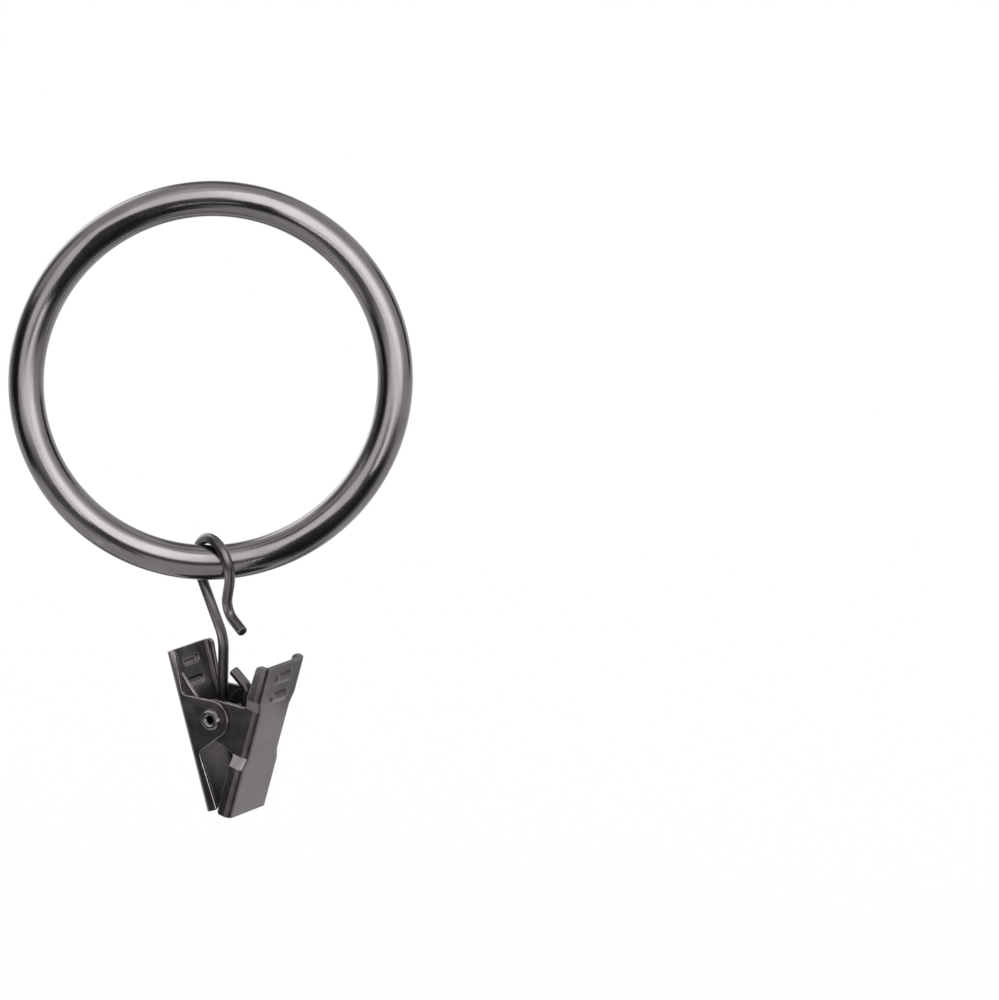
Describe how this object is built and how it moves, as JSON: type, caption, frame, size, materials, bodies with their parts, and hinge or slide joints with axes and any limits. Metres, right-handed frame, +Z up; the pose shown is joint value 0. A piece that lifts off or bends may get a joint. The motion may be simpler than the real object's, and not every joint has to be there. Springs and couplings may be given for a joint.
{
  "type": "curtain ring with clip",
  "caption": "Round metal curtain ring with a bent wire hook and a sprung two-jaw clip hanging from it.",
  "frame": {"origin": "centre of the ring's opening", "axes": "+Y along the curtain rod that the ring runs on, away from the pictured side; +Z up, the hook and clip hanging below; +X to the right as pictured"},
  "size_m": [0.0606, 0.0189, 0.0961],
  "materials": {
    "ring_metal": "polished black nickel plate on steel rod",
    "hook_wire": "bright black nickel plate on drawn steel wire",
    "jaw_sheet": "satin black nickel plate on pressed steel sheet",
    "rivet_metal": "black nickel plate on a semi-tubular steel rivet",
    "spring_wire": "bright drawn spring wire"
  },
  "bodies": {
    "ring": {"ring": "ring_metal"},
    "hook": {"hook": "hook_wire"},
    "clip": {"outer_jaw": "jaw_sheet", "rivet": "rivet_metal", "spring": "spring_wire"},
    "free_jaw": {"inner_jaw": "jaw_sheet"}
  },
  "joints": [
    {"name": "hook_swing", "type": "hinge", "parent": "ring", "child": "hook", "pos_m": [0, 0, -0.02765], "axis": [1, 0, 0], "continuous": true},
    {"name": "clip_swing", "type": "hinge", "parent": "hook", "child": "clip", "pos_m": [0.00243, -0.0008, -0.0507], "axis": [-0.6018, -0.7986, 0], "range_deg": [-25, 12]},
    {"name": "jaw_open", "type": "hinge", "parent": "clip", "child": "free_jaw", "pos_m": [0.00243, -0.0008, -0.0507], "axis": [-0.6018, -0.7986, 0], "range_deg": [0, 26], "stiffness_Nm_per_rad": 0.03, "springref_deg": -68.75, "deforming": ["spring"]}
  ]
}
